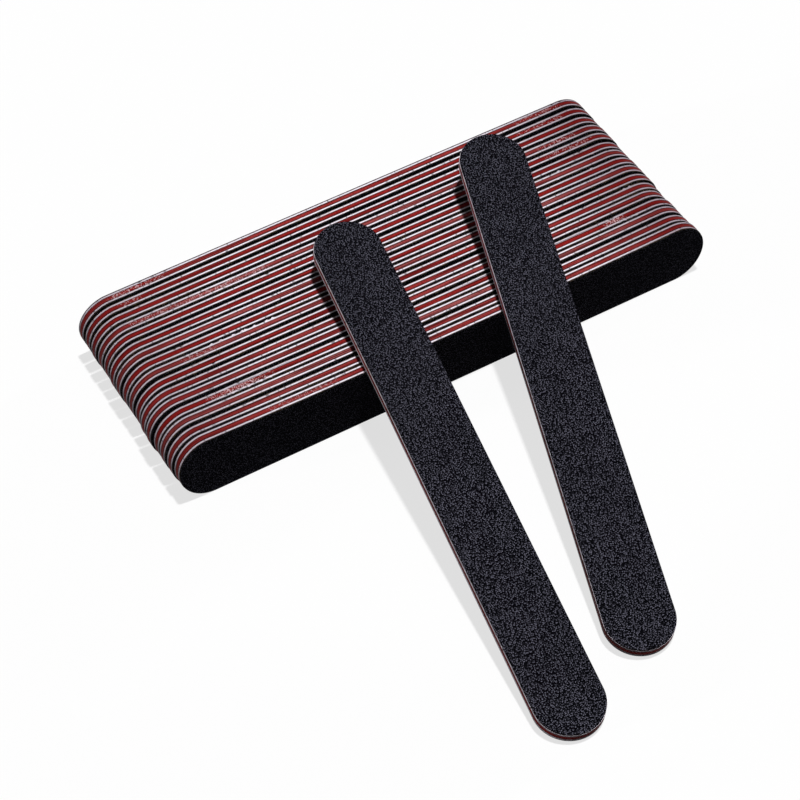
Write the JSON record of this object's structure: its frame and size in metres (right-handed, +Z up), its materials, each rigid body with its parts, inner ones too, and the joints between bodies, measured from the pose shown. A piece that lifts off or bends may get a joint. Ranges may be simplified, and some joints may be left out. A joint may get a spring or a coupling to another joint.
{
  "type": "emery board set",
  "caption": "Set of straight round-ended emery boards: a row standing on edge side by side, and loose ones leaning across it.",
  "frame": {"origin": "middle of the front row board's lower edge, on the surface that the set stands on", "axes": "+X along the row's boards, +Y back through the row, +Z up from the surface"},
  "size_m": [0.1788, 0.1952, 0.0345],
  "materials": {
    "black_grit_paper": "matte",
    "white_foam": "matte",
    "red_core": "matte"
  },
  "bodies": {
    "row_board_1": {"row_board_1_papers": "black_grit_paper", "row_board_1_foams": "white_foam", "row_board_1_core": "red_core"},
    "row_board_2": {"row_board_2_papers": "black_grit_paper", "row_board_2_foams": "white_foam", "row_board_2_core": "red_core"},
    "row_board_3": {"row_board_3_papers": "black_grit_paper", "row_board_3_foams": "white_foam", "row_board_3_core": "red_core"},
    "row_board_4": {"row_board_4_papers": "black_grit_paper", "row_board_4_foams": "white_foam", "row_board_4_core": "red_core"},
    "row_board_5": {"row_board_5_papers": "black_grit_paper", "row_board_5_foams": "white_foam", "row_board_5_core": "red_core"},
    "row_board_6": {"row_board_6_papers": "black_grit_paper", "row_board_6_foams": "white_foam", "row_board_6_core": "red_core"},
    "row_board_7": {"row_board_7_papers": "black_grit_paper", "row_board_7_foams": "white_foam", "row_board_7_core": "red_core"},
    "row_board_8": {"row_board_8_papers": "black_grit_paper", "row_board_8_foams": "white_foam", "row_board_8_core": "red_core"},
    "row_board_9": {"row_board_9_papers": "black_grit_paper", "row_board_9_foams": "white_foam", "row_board_9_core": "red_core"},
    "row_board_10": {"row_board_10_papers": "black_grit_paper", "row_board_10_foams": "white_foam", "row_board_10_core": "red_core"},
    "row_board_11": {"row_board_11_papers": "black_grit_paper", "row_board_11_foams": "white_foam", "row_board_11_core": "red_core"},
    "row_board_12": {"row_board_12_papers": "black_grit_paper", "row_board_12_foams": "white_foam", "row_board_12_core": "red_core"},
    "row_board_13": {"row_board_13_papers": "black_grit_paper", "row_board_13_foams": "white_foam", "row_board_13_core": "red_core"},
    "row_board_14": {"row_board_14_papers": "black_grit_paper", "row_board_14_foams": "white_foam", "row_board_14_core": "red_core"},
    "row_board_15": {"row_board_15_papers": "black_grit_paper", "row_board_15_foams": "white_foam", "row_board_15_core": "red_core"},
    "row_board_16": {"row_board_16_papers": "black_grit_paper", "row_board_16_foams": "white_foam", "row_board_16_core": "red_core"},
    "left_board": {"left_board_upper_paper": "black_grit_paper", "left_board_upper_foam": "white_foam", "left_board_core": "red_core", "left_board_lower_foam": "white_foam", "left_board_lower_paper": "black_grit_paper"},
    "right_board": {"right_board_upper_paper": "black_grit_paper", "right_board_upper_foam": "white_foam", "right_board_core": "red_core", "right_board_lower_foam": "white_foam", "right_board_lower_paper": "black_grit_paper"}
  },
  "joints": [
    {"name": "row_board_2_draw_out", "type": "slide", "parent": "row_board_1", "child": "row_board_2", "axis": [1, 0, 0], "range_m": [0, 0.185]},
    {"name": "row_board_3_draw_out", "type": "slide", "parent": "row_board_1", "child": "row_board_3", "axis": [1, 0, 0], "range_m": [0, 0.185]},
    {"name": "row_board_4_draw_out", "type": "slide", "parent": "row_board_1", "child": "row_board_4", "axis": [1, 0, 0], "range_m": [0, 0.185]},
    {"name": "row_board_5_draw_out", "type": "slide", "parent": "row_board_1", "child": "row_board_5", "axis": [1, 0, 0], "range_m": [0, 0.185]},
    {"name": "row_board_6_draw_out", "type": "slide", "parent": "row_board_1", "child": "row_board_6", "axis": [1, 0, 0], "range_m": [0, 0.185]},
    {"name": "row_board_7_draw_out", "type": "slide", "parent": "row_board_1", "child": "row_board_7", "axis": [1, 0, 0], "range_m": [0, 0.185]},
    {"name": "row_board_8_draw_out", "type": "slide", "parent": "row_board_1", "child": "row_board_8", "axis": [1, 0, 0], "range_m": [0, 0.185]},
    {"name": "row_board_9_draw_out", "type": "slide", "parent": "row_board_1", "child": "row_board_9", "axis": [1, 0, 0], "range_m": [0, 0.185]},
    {"name": "row_board_10_draw_out", "type": "slide", "parent": "row_board_1", "child": "row_board_10", "axis": [1, 0, 0], "range_m": [0, 0.185]},
    {"name": "row_board_11_draw_out", "type": "slide", "parent": "row_board_1", "child": "row_board_11", "axis": [1, 0, 0], "range_m": [0, 0.185]},
    {"name": "row_board_12_draw_out", "type": "slide", "parent": "row_board_1", "child": "row_board_12", "axis": [1, 0, 0], "range_m": [0, 0.185]},
    {"name": "row_board_13_draw_out", "type": "slide", "parent": "row_board_1", "child": "row_board_13", "axis": [1, 0, 0], "range_m": [0, 0.185]},
    {"name": "row_board_14_draw_out", "type": "slide", "parent": "row_board_1", "child": "row_board_14", "axis": [1, 0, 0], "range_m": [0, 0.185]},
    {"name": "row_board_15_draw_out", "type": "slide", "parent": "row_board_1", "child": "row_board_15", "axis": [1, 0, 0], "range_m": [0, 0.185]},
    {"name": "row_board_16_draw_out", "type": "slide", "parent": "row_board_1", "child": "row_board_16", "axis": [1, 0, 0], "range_m": [0, 0.185]},
    {"name": "left_board_lift_off", "type": "slide", "parent": "row_board_1", "child": "left_board", "axis": [0, 0, 1], "range_m": [0, 0.04]},
    {"name": "right_board_lift_off", "type": "slide", "parent": "row_board_1", "child": "right_board", "axis": [0, 0, 1], "range_m": [0, 0.04]}
  ]
}
